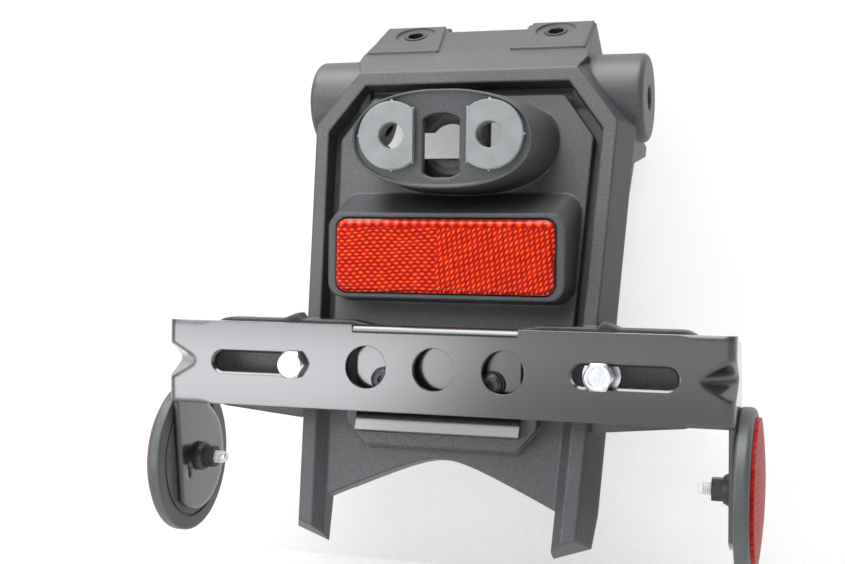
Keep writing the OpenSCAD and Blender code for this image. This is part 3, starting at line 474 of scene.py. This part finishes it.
def pale_table():
    """The white laminate behind the object, and the floor under it; each is clear from behind."""
    mat, tree, where = blank("white laminate")
    _, tone = cloudy(tree, where, 60, 3.0, [(0.3, "#f4f4f3"), (0.7, "#fafafa")])
    matt = add(tree, "ShaderNodeBsdfPrincipled", {"Roughness": 0.6}, Base_Color=tone)
    # painted shade: under the object ambient occlusion dims the table's glow, as seen through its holes and
    # between its legs
    open_sky = add(tree, "ShaderNodeAmbientOcclusion", {"Distance": 0.13, "samples": 16})
    glow = add(tree, "ShaderNodeMapRange", {"From Min": 0.05, "From Max": 0.47, "To Min": 0.1, "To Max": 1.0},
               Value=open_sky.outputs["AO"])
    bright = add(tree, "ShaderNodeEmission", {"Color": colour("#fefefe")}, Strength=glow.outputs[0])
    # the glow shows to the camera and in reflections, and lights nothing else
    paths = add(tree, "ShaderNodeLightPath")
    seen = add(tree, "ShaderNodeMath", {"operation": "MAXIMUM"}, i0=paths.outputs["Is Camera Ray"],
               i1=paths.outputs["Is Glossy Ray"])
    share = add(tree, "ShaderNodeMath", {"operation": "MULTIPLY", "i1": 0.8}, i0=seen.outputs[0])
    lit = add(tree, "ShaderNodeMixShader", None, i0=share.outputs[0], i1=matt.outputs[0],
              i2=bright.outputs[0])
    clear = add(tree, "ShaderNodeBsdfTransparent")
    back = add(tree, "ShaderNodeNewGeometry").outputs["Backfacing"]
    mixed = add(tree, "ShaderNodeMixShader", None, i0=back, i1=lit.outputs[0], i2=clear.outputs[0])
    add(tree, "ShaderNodeOutputMaterial", Surface=mixed.outputs[0])
    # both meet in one line behind and below the object, and reach 3 m to each side and forwards
    behind, below, above, wide = 0.095, -0.095, 0.7, 3
    backdrop = panel("backdrop", ((-wide, behind, below), (wide, behind, below), (wide, behind, above),
                                  (-wide, behind, above)), mat)
    floor = panel("floor", ((-wide, behind, below), (-wide, -wide, below), (wide, -wide, below),
                            (wide, behind, below)), mat)


def surroundings():
    """White to the camera, a dim even fill to everything else."""
    world = bpy.data.worlds.new("studio")
    bpy.context.scene.world = world
    world.use_nodes = True
    tree = world.node_tree
    tree.nodes.clear()
    paths = add(tree, "ShaderNodeLightPath")
    seen = add(tree, "ShaderNodeBackground", {"Color": colour("#fdfdfd"), "Strength": 1.0})
    fill = add(tree, "ShaderNodeBackground", {"Color": colour("#f4f6fa"), "Strength": 0.24})
    either = add(tree, "ShaderNodeMixShader", None, i0=paths.outputs["Is Camera Ray"], i1=fill.outputs[0],
                 i2=seen.outputs[0])
    add(tree, "ShaderNodeOutputWorld", Surface=either.outputs[0])


def window_glow():
    """The bright window that the black coat mirrors: soft at its right edge, dim below.

    It shows in reflections only, and lights no matt surface.
    """
    mat, tree, where = blank("window glow")
    place = add(tree, "ShaderNodeSeparateXYZ", None, Vector=where)
    slant = add(tree, "ShaderNodeMath", {"operation": "SUBTRACT"}, i0=place.outputs["X"],
                i1=place.outputs["Z"])
    across = add(tree, "ShaderNodeMapRange", {"interpolation_type": "SMOOTHSTEP", "From Min": -0.175,
                                              "From Max": -0.02, "To Min": 8.6, "To Max": 0.3},
                 Value=slant.outputs[0])
    upward = add(tree, "ShaderNodeMapRange", {"From Min": -0.085, "From Max": -0.01,
                                              "To Min": 0.1, "To Max": 3.2}, Value=place.outputs["Z"])
    most = add(tree, "ShaderNodeMath", {"operation": "MAXIMUM"}, i0=across.outputs[0], i1=upward.outputs[0])
    glow = add(tree, "ShaderNodeEmission", {"Color": colour("#fbfbff")}, Strength=most.outputs[0])
    add(tree, "ShaderNodeOutputMaterial", Surface=glow.outputs[0])
    left, right, front, low, high = -0.75, 0.35, -0.5, -0.094, -0.012
    obj = panel("window glow", ((left, front, low), (left, front, high), (right, front, high),
                                (right, front, low)), mat)
    obj.visible_camera = False
    obj.visible_diffuse = False
    obj.visible_shadow = False


camera()
pale_table()
surroundings()
window_glow()
lamp("window above", (-0.25, -0.12, 1.25), (0, 0, 0.03), 1.7, 1.1, 46)
lamp("skylight", (-0.28, -0.93, 0.71), (0, 0, 0), 0.7, 0.34, 3.0)
lamp("window left", (-0.75, -0.85, 0.5), (0, 0, 0.03), 0.6, 0.6, 4.5)
bpy.context.scene.view_settings.view_transform = "Standard"
